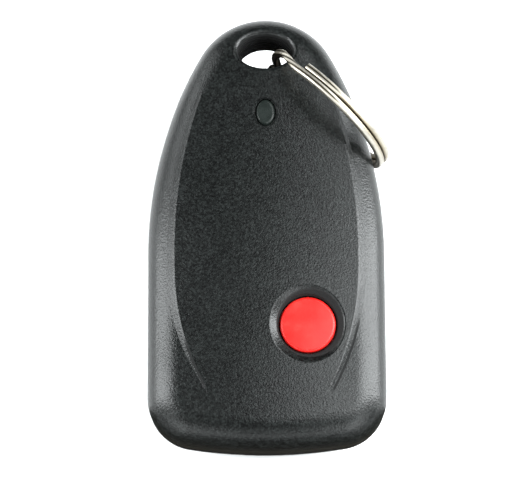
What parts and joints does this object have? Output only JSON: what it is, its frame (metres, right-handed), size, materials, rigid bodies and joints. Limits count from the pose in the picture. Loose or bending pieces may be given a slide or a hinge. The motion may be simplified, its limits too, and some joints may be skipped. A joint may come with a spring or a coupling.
{
  "type": "remote transmitter",
  "caption": "Key-ring remote transmitter: tapered black case with an oval eyelet and split ring, indicator window, raised curved panel and a round red push button in a dish.",
  "frame": {"origin": "on the flat back of the case, on its centre line, midway between its bottom end and its eyelet end", "axes": "+X to the right seen from the front, +Y along the case towards the eyelet, +Z out of the front"},
  "size_m": [0.0353, 0.0644, 0.023],
  "materials": {
    "case": "fine spark-eroded grain",
    "button": "satin moulded",
    "smoked_lens": "polished smoked",
    "board": "solder mask over glass epoxy",
    "copper": "tinned track",
    "steel": "drawn",
    "cell_sleeve": "shrink film",
    "nickel": "nickel plated",
    "dark_moulding": "moulded",
    "led_resin": "diffused resin",
    "solder": "flowed",
    "epoxy": "moulded epoxy",
    "gold_header": "gold flash",
    "ceramic": "fired",
    "brass": "turned",
    "enamel_coil": "lacquered",
    "screw_steel": "zinc plated",
    "ring_steel": "bright nickel plate"
  },
  "bodies": {
    "housing": {"front_cover": "case", "back_cover": "case", "led_lens": "smoked_lens", "circuit_board": "board", "antenna_loop": "copper", "battery_can": "steel", "battery_sleeve": "cell_sleeve", "battery_positive_cap": "steel", "battery_contact_positive": "nickel", "battery_contact_negative": "nickel", "battery_spring": "nickel", "switch_base": "dark_moulding", "switch_frame": "nickel", "switch_dome": "nickel", "switch_terminals": "nickel", "led_body": "led_resin", "led_leads": "nickel", "solder_joints": "solder", "encoder_chip": "epoxy", "encoder_leads": "nickel", "resonator_base": "gold_header", "resonator_can": "steel", "transistor_body": "epoxy", "transistor_leads": "nickel", "trimmer_base": "ceramic", "trimmer_rotor": "brass", "choke_coil": "enamel_coil", "chip_resistors": "epoxy", "chip_capacitors": "ceramic", "housing_screws": "screw_steel"},
    "button": {"button_cap": "button"},
    "plunger": {"switch_plunger": "dark_moulding"},
    "ring": {"split_ring": "ring_steel"}
  },
  "joints": [
    {"name": "button_press", "type": "slide", "parent": "housing", "child": "button", "axis": [0, 0, -1], "range_m": [0, 0.0003], "stiffness_N_per_m": 2000, "springref_m": -0.0004},
    {"name": "switch_press", "type": "slide", "parent": "housing", "child": "plunger", "axis": [0, 0, -1], "range_m": [0, 0.0003], "deforming": ["switch_dome"]},
    {"name": "ring_swing", "type": "hinge", "parent": "housing", "child": "ring", "pos_m": [0.0012, 0.02615, 0.0071], "axis": [0, 0, 1], "range_deg": [0, 255]}
  ],
  "couplings": [
    {"joint": "switch_press", "follows": "button_press", "ratio": 1}
  ]
}
